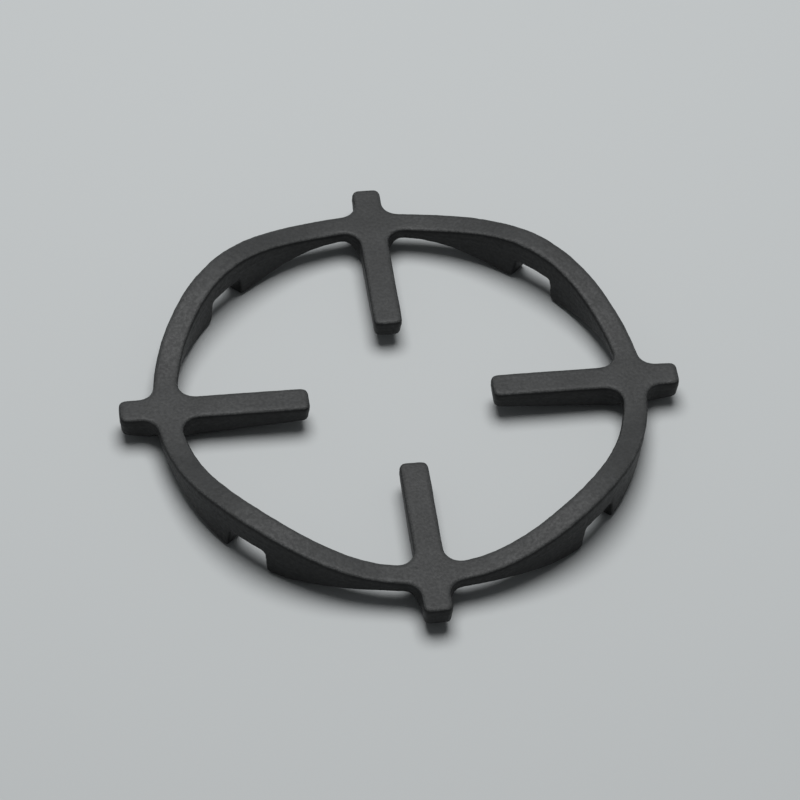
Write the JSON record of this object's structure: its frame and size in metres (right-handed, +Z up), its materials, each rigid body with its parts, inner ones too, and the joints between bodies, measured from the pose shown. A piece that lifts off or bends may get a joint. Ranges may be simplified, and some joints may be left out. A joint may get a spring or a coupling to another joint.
{
  "type": "stove reducer ring",
  "caption": "Cast-iron ring with inward arms and outer lugs, a wall that arches between the arms, and notches below that seat it on a pan support for small pots.",
  "frame": {"origin": "axis of the ring, at the level of the lips beside the notches, which it stands on", "axes": "+Z up along the ring's axis, arms along +X, -X, +Y and -Y, notches at 45 degrees between them"},
  "size_m": [0.16, 0.16, 0.016],
  "materials": {
    "black_enamel": "matte black enamel over sand-cast iron"
  },
  "bodies": {
    "root": {"reducer_ring": "black_enamel"}
  },
  "joints": []
}
